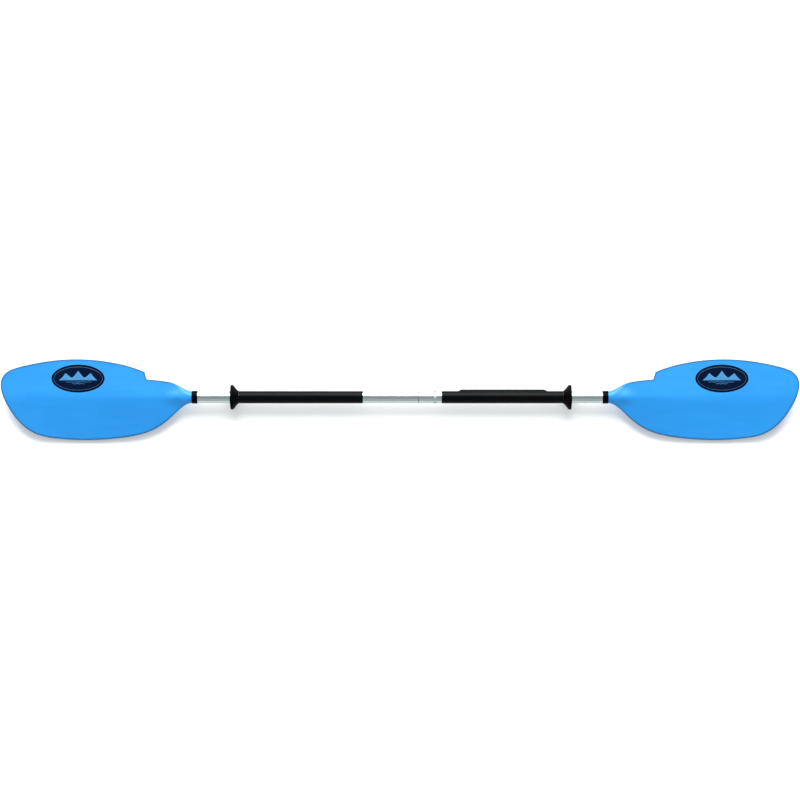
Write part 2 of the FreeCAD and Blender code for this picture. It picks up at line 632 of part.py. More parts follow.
def badges():
    gap, thickness = value(cell("badge_gap")), value(cell("badge_thickness"))
    oval = doc.addObject("Part::Ellipse", "badge_oval")
    oval.setExpression("MajorRadius", cell("badge_half_length"))
    oval.setExpression("MinorRadius", cell("badge_half_width"))
    oval.setExpression("Placement.Base.x", cell("badge_station"))
    oval.setExpression("Placement.Base.y", cell("badge_height"))
    layers = [curved_block("badge_face", 1, gap + thickness, -1), curved_block("badge_back", 1, gap, 1),
              upright_prism("badge_prism", oval)]
    right = doc.addObject("Part::MultiCommon", "right_badge")
    right.Shapes = layers
    return [right, mirrored(right, "left_badge")]


def mirrored(source, label):
    """The same piece on the other half, mirrored in the YZ plane."""
    copy = doc.addObject("Part::Mirroring", label)
    copy.Source = source
    copy.Normal = Vector(1, 0, 0)
    return copy


# --- everything, checked and written --------------------------------------------------------------

pieces = shaft_tubes() + ferrule() + rivets() + button() + button_spring()
pieces += grips() + drip_rings() + collars_and_pins() + blades() + badges()
doc.recompute()

for thing in doc.Objects:
    if "Invalid" in thing.State or "Error" in thing.State:
        raise SystemExit("%s failed: %s" % (thing.Name, thing.State))
for piece in pieces:
    if piece.Shape.isNull() or not piece.Shape.isValid() or not piece.Shape.Solids:
        raise SystemExit("%s has no valid solid" % piece.Label)

os.makedirs("parts", exist_ok=True)
for piece in pieces:
    piece.Shape.exportStep("parts/%s.step" % piece.Label)
    print("%-22s %d solid, %10.1f mm3" % (piece.Label, len(piece.Shape.Solids), piece.Shape.Volume))
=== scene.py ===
"""Two-piece kayak paddle: the visible pieces and materials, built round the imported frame.

Metres in Blender, millimetres where a name or a comment says so. +X runs along the shaft into the half
with the socket, +Y points to the blades' notched edges and +Z out of the blade faces with the badges.
A "station" is the distance from the paddle's middle along the shaft; the -X half is mirrored in X.
"""
import json
import math

import bpy
import numpy as np
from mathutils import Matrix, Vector
from mathutils.geometry import delaunay_2d_cdt


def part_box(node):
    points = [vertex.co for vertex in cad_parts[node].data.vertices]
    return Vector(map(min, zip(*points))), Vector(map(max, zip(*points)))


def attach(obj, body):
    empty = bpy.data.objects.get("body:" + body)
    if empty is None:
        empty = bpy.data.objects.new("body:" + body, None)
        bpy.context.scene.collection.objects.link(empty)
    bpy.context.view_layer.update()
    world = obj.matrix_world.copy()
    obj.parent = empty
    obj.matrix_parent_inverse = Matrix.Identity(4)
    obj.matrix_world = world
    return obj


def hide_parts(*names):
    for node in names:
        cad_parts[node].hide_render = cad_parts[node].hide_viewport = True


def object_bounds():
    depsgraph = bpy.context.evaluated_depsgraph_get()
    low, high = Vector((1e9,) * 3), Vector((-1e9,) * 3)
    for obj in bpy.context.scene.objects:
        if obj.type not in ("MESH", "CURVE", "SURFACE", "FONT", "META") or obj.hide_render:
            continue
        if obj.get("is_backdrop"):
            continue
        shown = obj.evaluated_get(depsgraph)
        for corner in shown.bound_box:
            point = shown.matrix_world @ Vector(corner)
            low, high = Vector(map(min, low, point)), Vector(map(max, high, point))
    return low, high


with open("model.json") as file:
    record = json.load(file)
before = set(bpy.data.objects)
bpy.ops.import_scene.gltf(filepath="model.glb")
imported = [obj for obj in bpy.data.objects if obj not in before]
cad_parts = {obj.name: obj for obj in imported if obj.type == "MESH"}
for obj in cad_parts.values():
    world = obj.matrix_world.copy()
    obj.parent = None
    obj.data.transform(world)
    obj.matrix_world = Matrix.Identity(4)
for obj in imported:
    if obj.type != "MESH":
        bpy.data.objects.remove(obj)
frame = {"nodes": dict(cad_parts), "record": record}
cad_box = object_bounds()
MM = 0.001


def node_reach(node, axis):
    """Lowest and highest coordinate of a CAD node along one axis, in millimetres."""
    low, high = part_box(node)
    return low[axis] / MM, high[axis] / MM


TUBE_RADIUS = node_reach("right_shaft_tube", 2)[1]
TUBE_END = node_reach("right_shaft_tube", 0)[1]
BLADE_TIP = node_reach("right_blade", 0)[1]
SPIGOT_LOW = node_reach("right_blade", 0)[0]
COLLAR_LOW, COLLAR_HIGH = node_reach("right_blade_collar", 0)
COLLAR_RADIUS = node_reach("right_blade_collar", 2)[1]
BUTTON_LOW, BUTTON_TOP = node_reach("snap_button", 2)
BADGE_LOW, BADGE_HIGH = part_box("right_badge")
SIDES = (("left", -1), ("right", 1))

# --- small geometry helpers -----------------------------------------------------------------------

CORNER_STEPS = 6  # pieces in the arc of a turned outline's rounded corner


def smoothstep(low, high, x):
    t = np.clip((np.asarray(x, float) - low) / (high - low), 0.0, 1.0)
    return t * t * (3 - 2 * t)


def spline(points, step):
    """Points about a step apart on the natural cubic curve through the given ones."""
    knots = np.asarray(points, float)
    chord = np.concatenate([[0], np.cumsum(np.linalg.norm(np.diff(knots, axis=0), axis=1))])
    count = len(knots)
    gaps = np.diff(chord)
    system = np.eye(count)
    right = np.zeros_like(knots)
    for i in range(1, count - 1):
        system[i, i - 1:i + 2] = gaps[i - 1], 2 * (gaps[i - 1] + gaps[i]), gaps[i]
        right[i] = 6 * ((knots[i + 1] - knots[i]) / gaps[i] - (knots[i] - knots[i - 1]) / gaps[i - 1])
    bend = np.linalg.solve(system, right)
    along = np.linspace(0, chord[-1], int(chord[-1] / step) + 1)
    span = np.clip(np.searchsorted(chord, along, side="right") - 1, 0, count - 2)
    gap = gaps[span][:, None]
    after = (along - chord[span])[:, None]
    before = gap - after
    return (bend[span] * before ** 3 + bend[span + 1] * after ** 3) / (6 * gap) \
        + (knots[span] / gap - bend[span] * gap / 6) * before \
        + (knots[span + 1] / gap - bend[span + 1] * gap / 6) * after


def round_corner(before, corner, after, radius, steps):
    """Points of the arc that rounds the corner between two directions."""
    corner = np.asarray(corner, float)
    back = np.asarray(before, float) - corner
    on = np.asarray(after, float) - corner
    back /= np.linalg.norm(back)
    on /= np.linalg.norm(on)
    half = 0.5 * math.acos(float(np.clip(back @ on, -1, 1)))
    reach = radius / math.tan(half)
    middle = back + on
    centre = corner + middle / np.linalg.norm(middle) * radius / math.sin(half)
    start, end = corner + back * reach - centre, corner + on * reach - centre
    sweep = math.pi - 2 * half
    turns = np.linspace(0, 1, steps + 1)
    return [centre + (start * math.sin((1 - turn) * sweep) + end * math.sin(turn * sweep)) / math.sin(sweep)
            for turn in turns]


def rounded_outline(corners):
    """A closed outline of rounded (x, y, radius) corners. Points beside each arc keep the flats flat."""
    outline = []
    count = len(corners)
    for i, (x, y, radius) in enumerate(corners):
        before, after = corners[i - 1][:2], corners[(i + 1) % count][:2]
        arc = round_corner(before, (x, y), after, radius, CORNER_STEPS)
        ends = [(arc[0], before), (arc[-1], after)]
        guards = [end + (np.asarray(far, float) - end) * min(0.25, 0.4 * radius / np.linalg.norm(far - end))
                  for end, far in ends]
        outline += [guards[0]] + arc + [guards[1]]
    return outline


def new_object(name, points, faces, material, body, slot):
    """A smooth-shaded mesh from millimetre points, riding on a body."""
    mesh = bpy.data.meshes.new(name)
    mesh.from_pydata([tuple(float(c) * MM for c in point) for point in points], [], faces)
    mesh.validate()
    mesh.polygons.foreach_set("use_smooth", [True] * len(mesh.polygons))
    thing = bpy.data.objects.new(name, mesh)
    bpy.context.scene.collection.objects.link(thing)
    mesh.materials.append(material)
    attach(thing, body)
    return thing


def stitched(rings, closed_tube=False, caps=(False, False)):
    """Quads between rings of equal count, each ring closed on itself."""
    count = len(rings[0])
    points = [point for ring in rings for point in ring]
    faces = []
    spans = len(rings) if closed_tube else len(rings) - 1
    for i in range(spans):
        here, there = i * count, ((i + 1) % len(rings)) * count
        for j in range(count):
            k = (j + 1) % count
            faces.append((here + j, here + k, there + k, there + j))
    if caps[0]:
        faces.append(tuple(reversed(range(count))))
    if caps[1]:
        faces.append(tuple(range((len(rings) - 1) * count, len(rings) * count)))
    return points, faces


def lathed(outline, segments, axis="X", side=1):
    """A closed (station, radius) outline turned about the shaft, or about a vertical axis."""
    rings = []
    for station, radius in outline:
        angles = [2 * math.pi * k / segments for k in range(segments)]
        if axis == "X":
            rings.append([(side * station, radius * math.cos(a), side * radius * math.sin(a))
                          for a in angles])
        else:
            rings.append([(radius * math.cos(a), radius * math.sin(a), station) for a in angles])
    return stitched(rings, closed_tube=True)


def mirrored(points, faces, side):
    """The shape itself on the right side (1), and its mirror image in X on the left (-1)."""
    if side > 0:
        return points, faces
    return [(-x, y, z) for x, y, z in points], [tuple(reversed(face)) for face in faces]


# --- materials ------------------------------------------------------------------------------------


class Shader:
    """A principled material and short calls for the textures that feed it."""

    def __init__(self, name, base, roughness, **sockets):
        self.material = bpy.data.materials.new(name)
        self.material.use_nodes = True
        self.nodes = self.material.node_tree.nodes
        self.links = self.material.node_tree.links
        self.surface = self.nodes["Principled BSDF"]
        self.set(self.surface, **{"Base Color": (*base, 1.0), "Roughness": roughness, **sockets})
        self.place = self.nodes.new("ShaderNodeTexCoord").outputs["Object"]

    @staticmethod
    def set(node, **sockets):
        for name, value in sockets.items():
            node.inputs[name.replace("_", " ")].default_value = value
        return node

    def noise(self, stretch, scale, detail=3.0, rough=0.55):
        """Noise in object space; stretch squeezes it per axis, scale is waves per metre."""
        mapping = self.set(self.nodes.new("ShaderNodeMapping"), Scale=stretch)
        texture = self.set(self.nodes.new("ShaderNodeTexNoise"), Scale=scale, Detail=detail, Roughness=rough)
        self.links.new(self.place, mapping.inputs["Vector"])
        self.links.new(mapping.outputs["Vector"], texture.inputs["Vector"])
        return texture.outputs["Fac"]

    def ramp(self, value, stops):
        """Maps a value through (position, colour) stops."""
        ramp = self.nodes.new("ShaderNodeValToRGB")
        elements = ramp.color_ramp.elements
        while len(elements) < len(stops):
            elements.new(0.5)
        for element, (position, colour) in zip(elements, stops):
            element.position = position
            element.color = (*colour, 1.0)
        self.links.new(value, ramp.inputs["Fac"])
        return ramp.outputs["Color"]

    def spread(self, value, low, high, start=0.3, end=0.7):
        """Maps a value's middle band to a range of numbers."""
        change = self.set(self.nodes.new("ShaderNodeMapRange"),
                          From_Min=start, From_Max=end, To_Min=low, To_Max=high)
        self.links.new(value, change.inputs["Value"])
        return change.outputs["Result"]

    def mix(self, share, first, second):
        """Blends two colours, each a tuple or an output, by a number or an output."""
        node = self.nodes.new("ShaderNodeMix")
        node.data_type = "RGBA"
        for socket, source in (("Factor_Float", share), ("A_Color", first), ("B_Color", second)):
            target = next(i for i in node.inputs if i.identifier == socket)
            if isinstance(source, tuple):
                target.default_value = (*source, 1.0)
            elif isinstance(source, float):
                target.default_value = source
            else:
                self.links.new(source, target)
        return next(o for o in node.outputs if o.identifier == "Result_Color")

    def colour(self, output):
        self.links.new(output, self.surface.inputs["Base Color"])

    def roughness(self, output):
        self.links.new(output, self.surface.inputs["Roughness"])

    def bump(self, *layers):
        """Stacks (height, strength, distance in metres) bumps."""
        normal = None
        for height, strength, distance in layers:
            node = self.set(self.nodes.new("ShaderNodeBump"), Strength=strength, Distance=distance)
            self.links.new(height, node.inputs["Height"])
            if normal:
                self.links.new(normal, node.inputs["Normal"])
            normal = node.outputs["Normal"]
        self.links.new(normal, self.surface.inputs["Normal"])

    def attribute(self, name):
        node = self.nodes.new("ShaderNodeAttribute")
        node.attribute_name = name
        return node.outputs["Fac"]


# Scale of noise along X, Y and Z. The smaller the first number, the longer the streaks along the shaft.
EVEN = (1.0, 1.0, 1.0)
SLEEVE_RIPPLES = (0.25, 1.0, 1.0)
MOULD_SWIRLS = (0.2, 1.0, 1.0)
FLOW_MARKS = (0.1, 1.0, 1.0)
ALONG = (0.02, 1.0, 1.0)
HAIR_LINES = (0.006, 1.0, 1.0)


def blade_plastic():
    """Bright blue polypropylene: faint flow marks along the blade, fine grain, painted edge shade, scuffed
    edges.
    """
    shader = Shader("blade_polypropylene", (0.010, 0.20, 0.53), 0.38,
                    Subsurface_Weight=0.05, Subsurface_Scale=0.003, Specular_IOR_Level=0.32)
    clouds = shader.ramp(shader.noise(EVEN, 7.0), [(0.3, (0.008, 0.188, 0.51)), (0.7, (0.010, 0.210, 0.55))])
    flow = shader.ramp(shader.noise(FLOW_MARKS, 70.0, 5.0),
                       [(0.35, (0.006, 0.170, 0.48)), (0.75, (0.016, 0.24, 0.60))])
    body = shader.mix(0.25, clouds, flow)
    # rim is a mask near the outline. Here it mixes in a painted shade: a darker blue along the blade's edges.
    rim = shader.attribute("rim")
    body = shader.mix(shader.spread(rim, 0.0, 0.92, 0.0, 1.0), body, (0.0015, 0.035, 0.12))
    # The same rim mask also places the lighter scuffs, which are wear.
    scuffs = shader.noise(EVEN, 420.0, 6.0, 0.7)
    worn = shader.nodes.new("ShaderNodeMath")
    worn.operation = "MULTIPLY"
    shader.links.new(rim, worn.inputs[0])
    shader.links.new(shader.spread(scuffs, 0.0, 0.6, 0.52, 0.68), worn.inputs[1])
    shader.colour(shader.mix(worn.outputs["Value"], body, (0.07, 0.28, 0.55)))
    shader.roughness(shader.spread(shader.noise(EVEN, 90.0, 6.0), 0.33, 0.46))
    shader.bump((shader.noise(EVEN, 2600.0, 2.0), 0.18, 0.00012),
                (shader.noise(MOULD_SWIRLS, 45.0), 0.08, 0.0012))
    return shader.material


def drawn_aluminium(name, tint, roughness):
    """Drawn tube: long hair lines along the shaft under a clear satin finish."""
    shader = Shader(name, tint, roughness, Metallic=1.0)
    lines = shader.noise(HAIR_LINES, 1900.0, 4.0, 0.65)
    shader.colour(shader.ramp(shader.noise(ALONG, 130.0),
                              [(0.3, tuple(0.93 * c for c in tint)), (0.7, tint)]))
    shader.roughness(shader.spread(lines, roughness - 0.05, roughness + 0.06))
    shader.bump((lines, 0.04, 0.00008))
    return shader.material


def satin_steel():
    """Plain steel for the button, spring and pins: satin, with uneven gloss."""
    shader = Shader("satin_steel", (0.62, 0.62, 0.64), 0.24, Metallic=1.0)
    shader.roughness(shader.spread(shader.noise(EVEN, 700.0, 5.0), 0.18, 0.32))
    shader.bump((shader.noise(EVEN, 1500.0), 0.05, 0.00005))
    return shader.material


def shrink_sleeve():
    """Black shrink sleeve: satin, with shallow ripples along the shaft and a fine leathery grain."""
    shader = Shader("shrink_sleeve", (0.0008, 0.0012, 0.0012), 0.3, Specular_IOR_Level=0.05)
    shader.colour(shader.ramp(shader.noise(EVEN, 35.0, 5.0),
                              [(0.3, (0.0002, 0.0008, 0.0008)), (0.75, (0.0006, 0.0016, 0.0016))]))
    shader.roughness(shader.spread(shader.noise(EVEN, 160.0, 6.0), 0.26, 0.36))
    shader.bump((shader.noise(EVEN, 1800.0, 4.0), 0.22, 0.00015),
                (shader.noise(SLEEVE_RIPPLES, 90.0), 0.12, 0.0008))
    return shader.material


def rubber(name, base, roughness):
    """Moulded rubber or plastic: matt, faintly mottled, with a fine grain."""
    shader = Shader(name, base, roughness, Specular_IOR_Level=0.018)
    shader.colour(shader.ramp(shader.noise(EVEN, 80.0, 6.0),
                              [(0.3, tuple(0.8 * c for c in base)), (0.75, tuple(1.5 * c for c in base))]))
    shader.roughness(shader.spread(shader.noise(EVEN, 220.0, 5.0), roughness - 0.07, roughness + 0.08))
    shader.bump((shader.noise(EVEN, 2200.0, 3.0), 0.2, 0.00015))
    return shader.material


def badge_film(name, base, roughness):
    """Printed film: one ink, faintly mottled, satin."""
    shader = Shader(name, base, roughness, Specular_IOR_Level=0.04)
    shader.colour(shader.ramp(shader.noise(EVEN, 120.0, 4.0),
                              [(0.3, tuple(0.8 * c for c in base)), (0.7, base)]))
    shader.roughness(shader.spread(shader.noise(EVEN, 260.0, 6.0), roughness - 0.05, roughness + 0.08))
    shader.bump((shader.noise(EVEN, 500.0, 2.0), 0.05, 0.0002))
    return shader.material


def foam_plug():
    """Closed-cell foam and moulded plugs: matt grey with small cells."""
    shader = Shader("plug_foam", (0.10, 0.10, 0.11), 0.85)
    cells = shader.noise(EVEN, 1300.0, 2.0)
    shader.colour(shader.ramp(cells, [(0.35, (0.055, 0.055, 0.06)), (0.65, (0.13, 0.13, 0.14))]))
    shader.bump((cells, 0.6, 0.0004))
    return shader.material


MATERIALS = {
    "blade_plastic": blade_plastic(),
    "shaft_aluminium": drawn_aluminium("drawn_aluminium", (0.43, 0.48, 0.48), 0.2),
    "rivet_aluminium": drawn_aluminium("rivet_aluminium", (0.42, 0.45, 0.45), 0.28),
    "collar_plastic": rubber("collar_plastic", (0.0006, 0.0007, 0.0016), 0.38),
    "steel": satin_steel(),
    "badge_film": badge_film("badge_film", (0.0, 0.0006, 0.004), 0.34),
    "grip_sleeve": shrink_sleeve(),
    "strip_plastic": rubber("strip_plastic", (0.05, 0.05, 0.052), 0.5),
    "black_rubber": rubber("black_rubber", (0.0006, 0.0008, 0.0008), 0.42),
    "washer_plastic": rubber("washer_plastic", (0.08, 0.085, 0.085), 0.5),
    "plug_plastic": foam_plug(),
}
BADGE_FIELD = badge_film("badge_field", (0.0, 0.0040, 0.020), 0.36)
BADGE_INK = badge_film("badge_ink", (0.05, 0.20, 0.42), 0.4)

for subpart in frame["record"]["subparts"]:
    node = frame["nodes"][subpart["node"]]
    node.data.materials.clear()
    node.data.materials.append(MATERIALS[subpart["material_slot"]])

# --- blades ---------------------------------------------------------------------------------------

# The blade's edge in millimetres, from the notch round the tip to the neck: station, distance from the axis.
BLADE_EDGE = [
    (684, 68), (715, 79.5), (763, 91.5), (815, 99.3), (868, 101.8), (924, 98.8), (980, 90), (1028, 78),
    (1052, 66.5), (1064, 50), (1067, 30), (1060, 1), (1038, -41), (1004, -80), (970, -100), (924, -109.8),
    (855, -114.5), (780, -112), (715, -103.8), (667, -90), (635, -72), (603, -45), (580, -25.5), (567, -18.2),
    (558, -15.9),
]
THROAT_EDGE = [(558, 15.9), (567, 18.2), (580, 24.5), (602, 36), (635, 43.5), (678.5, 47.8)]
NOTCH_OUTER, NOTCH_INNER = 3.0, 4.0
EDGE_STEP = 1.5  # distance between points along the outline
# How many points away the notch's corners take their directions, and how many may lie inside an arc.
CORNER_PICK, CORNER_SPAN = 6, 20
RIM_THICKNESS, MIDDLE_THICKNESS, MIDDLE_WIDTH = 2.8, 4.6, 45.0
RIM_ROUND = 1.7
NECK_HIGH = 558.0  # where the round neck starts to spread
PANEL_LOW = 560.0
# How far past the neck the spine has narrowed, the centre ridge is full and the rim has its own rounding.
SPINE_NARROWS, RIDGE_GROWS, RIM_SHARPENS = 55.0, 60.0, 75.0
FACE_SPINE, BACK_SPINE = (95.0, 15.0), (200.0, 16.5)  # length and half width of the spine on each side
RIDGE_WIDTH = 4.0
DIP, RISE = 18.0, 15.0  # depth of the spoon before the tip's rise is added, and rise of the tip
DIP_SCALE = 27 / 4  # makes the deepest point of x * x * (1 - x), at x = 2/3, equal to 1
SLOPE_ROOT, SLOPE_TIP = 0.12, 0.06  # slope of each half of the face, at the neck and at the tip
# Distances inside the outline of the rings that follow the rim, and pitch and reach of the grid inside them.
RIM_RINGS = [0.0, 0.06, 0.22, 0.5, 0.9, 1.4, 2.1, 3.2]
GRID_PITCH = 3.2
GRID_LOW, GRID_HIGH = -116, 104
ON_RIM = 1e-3  # points nearer to the outline than this are shared by face and back
SPIGOT_INSET = 1.6  # how far inside the tube's outside the spigot's surface lies
# Distances inside the outline over which the painted edge shade and the scuff mask fade, and stations over
# which they start.
SHADE_AND_SCUFF_FULL_INSET, SHADE_AND_SCUFF_CLEAR_INSET = 1.2, 4.6
SHADE_AND_SCUFF_START_STATION, SHADE_AND_SCUFF_FULL_STATION = 580, 620
BATCH = 2000  # points measured at a time, to save memory


def blade_plan():
    """The open outline of the right blade in plan, from the upper side of the neck round to the lower."""
    throat = spline(THROAT_EDGE, EDGE_STEP)
    edge = spline(BLADE_EDGE, EDGE_STEP)
    inner = round_corner(throat[-CORNER_PICK], throat[-1], edge[0], NOTCH_INNER, 10)
    outer = round_corner(throat[-1], edge[0], edge[CORNER_PICK], NOTCH_OUTER, 8)
    throat = [point for point in throat if point[0] < inner[0][0] - 0.5]
    edge = [point for i, point in enumerate(edge) if i > CORNER_SPAN or point[0] > outer[-1][0] + 0.5]
    neck = np.arange(TUBE_END, NECK_HIGH - 0.5, EDGE_STEP)
    upper = [(station, TUBE_RADIUS) for station in neck]
    lower = [(station, -TUBE_RADIUS) for station in neck[::-1]]
    return np.array(upper + list(throat) + inner + outer + list(edge) + lower, float)


def spine(station, across, length, width):
    """How much of the round neck is left at a point: 1 on the neck, fading out along the blade."""
    fade = (1 - smoothstep(NECK_HIGH, NECK_HIGH + length, station)) ** 1.5
    narrow = smoothstep(NECK_HIGH, NECK_HIGH + SPINE_NARROWS, station)
    return fade * np.exp(-narrow * (across / width) ** 2)


def middle_height(station, across):
    """Height of the blade's middle surface: spooned along its length, ridged along its centre line."""
    along = np.clip((station - PANEL_LOW) / (BLADE_TIP - PANEL_LOW), 0, 1)
    spoon = RISE * along ** 3 - DIP * DIP_SCALE * along ** 2 * (1 - along)
    slope = SLOPE_ROOT + (SLOPE_TIP - SLOPE_ROOT) * along
    start = smoothstep(NECK_HIGH, NECK_HIGH + RIDGE_GROWS, station)
    width = RIDGE_WIDTH * (1 + 2 * along)
    return spoon - start * slope * (np.hypot(across, width) - width)


def half_thickness(station, across, inset, side):
    """Half the blade's thickness at a distance inside its outline, on the face (1) or the back (-1)."""
    panel = 0.5 * (RIM_THICKNESS + (MIDDLE_THICKNESS - RIM_THICKNESS) * np.exp(-(across / MIDDLE_WIDTH) ** 2))
    full = panel + (TUBE_RADIUS - panel) * spine(station, across, *(FACE_SPINE if side > 0 else BACK_SPINE))
    round_neck = (1 - smoothstep(NECK_HIGH, NECK_HIGH + RIM_SHARPENS, station)) ** 2
    reach = RIM_ROUND + (TUBE_RADIUS - RIM_ROUND) * round_neck
    depth = np.clip(1 - inset / reach, 0, 1)
    return full * np.sqrt(1 - depth ** 2)


def surface_height(station, across, inset, side):
    return middle_height(station, across) + side * half_thickness(station, across, inset, side)


def inset_from(points, outline):
    """Each point's distance from the nearest piece of the open outline."""
    start, end = outline[:-1], outline[1:]
    run = end - start
    square = (run ** 2).sum(1)
    nearest = np.empty(len(points))
    for first in range(0, len(points), BATCH):
        batch = slice(first, first + BATCH)
        apart = points[batch][:, None] - start[None]
        share = np.clip((apart * run).sum(2) / square, 0, 1)
        nearest[batch] = np.linalg.norm(apart - share[..., None] * run, axis=2).min(1)
    return nearest


def blade_mesh():
    """The right blade's points and faces: rings along the rim and a fine grid inside, on face and back.

    Also returns each corner's index by side and plan spot, the spots, which of them are used, and how far
    inside the outline they lie.
    """
    outline = blade_plan()
    tangent = np.gradient(outline, axis=0)
    tangent /= np.linalg.norm(tangent, axis=1)[:, None]
    inward = np.stack([tangent[:, 1], -tangent[:, 0]], axis=1)
    rings = [outline + inward * step for step in RIM_RINGS]
    for ring in rings:
        ring[0, 0] = ring[-1, 0] = TUBE_END
    grid = np.array([(x, y) for x in np.arange(TUBE_END, BLADE_TIP, GRID_PITCH)
                     for y in np.arange(GRID_LOW, GRID_HIGH, GRID_PITCH)])
    ring_points = np.concatenate(rings)
    gap = inset_from(grid, outline)
    inside = [point for point, distance in zip(grid, gap) if distance > RIM_RINGS[-1] + 0.5 * GRID_PITCH]
    count = len(outline)
    plan = [Vector(point) for point in np.concatenate([ring_points, np.array(inside)])]
    edges = [(ring * count + i, ring * count + i + 1) for ring in range(len(rings)) for i in range(count - 1)]
    spots, _, triangles, *_ = delaunay_2d_cdt(plan, edges, [list(range(count))], 1, 1e-5)
    spots = np.array([tuple(spot) for spot in spots])
    used = sorted({i for triangle in triangles for i in triangle})
    inset = inset_from(spots, outline)
    on_rim = inset < ON_RIM
    points, faces = [], []
    index = {}
    for side in (1, -1):
        heights = surface_height(spots[:, 0], spots[:, 1], np.where(on_rim, 0.0, inset), side)
        for i in used:
            if side < 0 and on_rim[i]:
                index[side, i] = index[1, i]
            else:
                index[side, i] = len(points)
                points.append((spots[i, 0], spots[i, 1], heights[i]))
        for triangle in triangles:
            corners = [index[side, i] for i in triangle]
            faces.append(tuple(corners if side > 0 else reversed(corners)))
    return points, faces, index, spots, used, inset


def spigot(points, faces, index, spots, used):
    """Closes the neck's open end with the shoulder and the spigot that sits in the tube."""
    end = sorted((i for i in used if spots[i, 0] < TUBE_END + 1e-4), key=lambda i: -spots[i, 1])
    loop = [index[1, i] for i in end] + [index[-1, i] for i in reversed(end[1:-1])]
    for station, scale in ((TUBE_END, (TUBE_RADIUS - SPIGOT_INSET) / TUBE_RADIUS), (SPIGOT_LOW, 1.0)):
        fresh = [len(points) + i for i in range(len(loop))]
        points += [(station, points[corner][1] * scale, points[corner][2] * scale) for corner in loop]
        for i in range(len(loop)):
            k = (i + 1) % len(loop)
            faces.append((loop[i], fresh[i], fresh[k], loop[k]))
        loop = fresh
    faces.append(tuple(reversed(loop)))


def add_blades():
    points, faces, index, spots, used, inset = blade_mesh()
    spigot(points, faces, index, spots, used)
    # rim: mask near the outline for the painted edge shade, a darker band along the edges, and for the edge
    # scuffs.
    rim = np.zeros(len(points))
    for (_, i), corner in index.items():
        near = float(1 - smoothstep(SHADE_AND_SCUFF_FULL_INSET, SHADE_AND_SCUFF_CLEAR_INSET, inset[i]))
        rim[corner] = near * float(smoothstep(SHADE_AND_SCUFF_START_STATION, SHADE_AND_SCUFF_FULL_STATION, spots[i, 0]))
    for name, side in SIDES:
        blade = new_object(name + "_blade_moulding", *mirrored(points, faces, side),
                           MATERIALS["blade_plastic"], name + "_half", "blade_plastic")
        blade.data.attributes.new("rim", "FLOAT", "POINT").data.foreach_set("value", rim.astype(np.float32))
        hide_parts(name + "_blade")


# --- badges ---------------------------------------------------------------------------------------

BADGE_CENTRE = ((BADGE_LOW + BADGE_HIGH) / 2) / MM
BADGE_HALF = ((BADGE_HIGH - BADGE_LOW) / 2) / MM
FILM_THICKNESS, INK_THICKNESS = 0.42, 0.08
FILM_SUNK, INK_SUNK = 0.1, 0.05  # how deep the film sits in the blade, and each ink in what is below it
BORDER, BORDER_LINE = 6.5, 0.6  # width of the dark border, and of the fine line at its inner edge
CLOSING_STEPS = 16
# A plain row of waves: half its length, its foot over the badge's middle, and its lowest and added height.
WAVE_REACH, WAVE_BASE, WAVE_FOOT, WAVE_HEIGHT = 51.0, -5.0, 8.0, 18.0
# Ripples under it: middle and half length along the blade, and height over the badge's middle.
RIPPLES = [(-16.0, 22.0, -9.0), (15.0, 20.0, -9.5), (0.0, 18.0, -14.0)]
RIPPLE_SWAY, RIPPLE_HALF_WIDTH = 0.5, 0.55
DEEP_INSIDE = 50.0


def face_height(station, across):
    return surface_height(np.asarray(station, float), np.asarray(across, float), DEEP_INSIDE, 1)


def badge_oval(inset, lift, count=160):
    """A ring of points on the face, inside the badge's edge and lifted off the face."""
    angles = np.linspace(0, 2 * math.pi, count, endpoint=False)
    stations = BADGE_CENTRE.x + (BADGE_HALF.x - inset) * np.cos(angles)
    acrosses = BADGE_CENTRE.y + (BADGE_HALF.y - inset) * np.sin(angles)
    return np.stack([stations, acrosses, face_height(stations, acrosses) + lift], axis=1)


def layer(edge, bottom, top):
    """A thin oval layer that follows the face: its edge rings, closed below and above."""
    centre = np.array([BADGE_CENTRE.x, BADGE_CENTRE.y])

    def shrinking(ring, lift):
        for share in np.linspace(1, 0.02, CLOSING_STEPS)[1:]:
            plan = centre + (ring[:, :2] - centre) * share
            yield np.column_stack([plan, face_height(plan[:, 0], plan[:, 1]) + lift])

    below, above = list(shrinking(edge[0], bottom)), list(shrinking(edge[-1], top))
    return stitched(below[::-1] + edge + above, caps=(True, True))


def oval_film():
    """The badge's film with its rounded edge."""
    foot, top = -FILM_SUNK, FILM_THICKNESS
    edge = [(0.0, foot), (0.0, 0.2 * top), (0.06, 0.62 * top), (0.2, 0.92 * top), (0.4, top)]
    return layer([badge_oval(inset, lift) for inset, lift in edge], foot, top)


def oval_field():
    """The printed field inside the badge's dark border."""
    bottom, top = FILM_THICKNESS - INK_SUNK, FILM_THICKNESS + INK_THICKNESS
    return layer([badge_oval(BORDER, bottom), badge_oval(BORDER + 0.05, top)], bottom, top)


def join(shapes):
    """Several shapes' points and faces as one."""
    points, faces = [], []
    for fresh_points, fresh_faces in shapes:
        faces += [tuple(i + len(points) for i in face) for face in fresh_faces]
        points += [tuple(point) for point in fresh_points]
    return points, faces


def raised_band(low, high):
    """Ink between two curves in plan, given at the same stations, standing on the printed field."""
    rows = []
    base = FILM_THICKNESS + INK_THICKNESS
    for share, lift in ((0.0, -INK_SUNK), (0.03, INK_THICKNESS), (0.35, INK_THICKNESS), (0.65, INK_THICKNESS),
                        (0.97, INK_THICKNESS), (1.0, -INK_SUNK)):
        plan = low + (high - low) * share
        rows.append(np.column_stack([plan, face_height(plan[:, 0], plan[:, 1]) + base + lift]))
    return stitched([[row[i] for row in rows] for i in range(len(low))], caps=(True, True))


